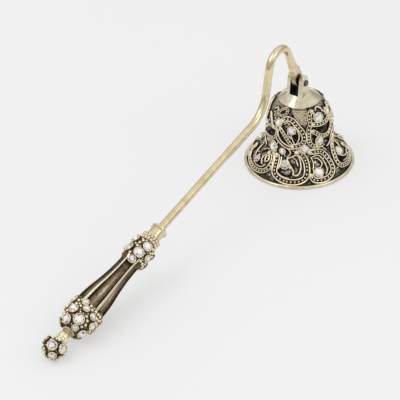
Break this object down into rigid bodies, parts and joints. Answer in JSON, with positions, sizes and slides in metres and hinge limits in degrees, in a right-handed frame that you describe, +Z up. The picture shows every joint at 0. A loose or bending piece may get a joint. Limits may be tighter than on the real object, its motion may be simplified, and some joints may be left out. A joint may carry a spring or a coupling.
{
  "type": "candle snuffer",
  "caption": "Candle snuffer: a flared, stone-set bell swings on a pin at the end of a gooseneck rod with a fluted, stone-set handle.",
  "frame": {"origin": "under the middle of the whole, on the surface that the snuffer stands on", "axes": "+X runs from the ball of the handle towards the bell, +Z is up, +Y is across the handle"},
  "size_m": [0.1993, 0.05, 0.0662],
  "materials": {
    "rod_brass": "pale champagne gold, polished",
    "grip_gold": "antiqued gold with bright ridges and dark hollows",
    "cup_gold": "bright antiqued gold",
    "shell_patina": "dark antiqued recess",
    "scroll_gold": "antiqued gold, raised parts bright",
    "cap_brass": "polished pale brass",
    "pin_brass": "darkened brass",
    "crystal": "clear faceted glass with a foiled back"
  },
  "bodies": {
    "handle": {"rod": "rod_brass", "finial": "grip_gold", "finial_cups": "cup_gold", "finial_crystals": "crystal", "neck_spool": "grip_gold", "grip": "grip_gold", "bulb_cups": "cup_gold", "bulb_crystals": "crystal", "barrel_cups": "cup_gold", "barrel_crystals": "crystal", "beaded_collar": "grip_gold", "collar_sleeve": "grip_gold", "rod_flange": "rod_brass"},
    "bell": {"bell_shell": "shell_patina", "rim_wire": "scroll_gold", "skirt_scrolls": "scroll_gold", "crown_scrolls": "scroll_gold", "bell_cups": "cup_gold", "bell_large_crystals": "crystal", "bell_small_crystals": "crystal", "hanger_cap": "cap_brass", "cap_washer": "cap_brass", "cap_screw": "cap_brass", "pivot_pin": "pin_brass"}
  },
  "joints": [
    {"name": "bell_swing", "type": "hinge", "parent": "handle", "child": "bell", "pos_m": [0.07322, 0, 0.0423], "axis": [0, 1, 0], "range_deg": [-130, 46]}
  ]
}
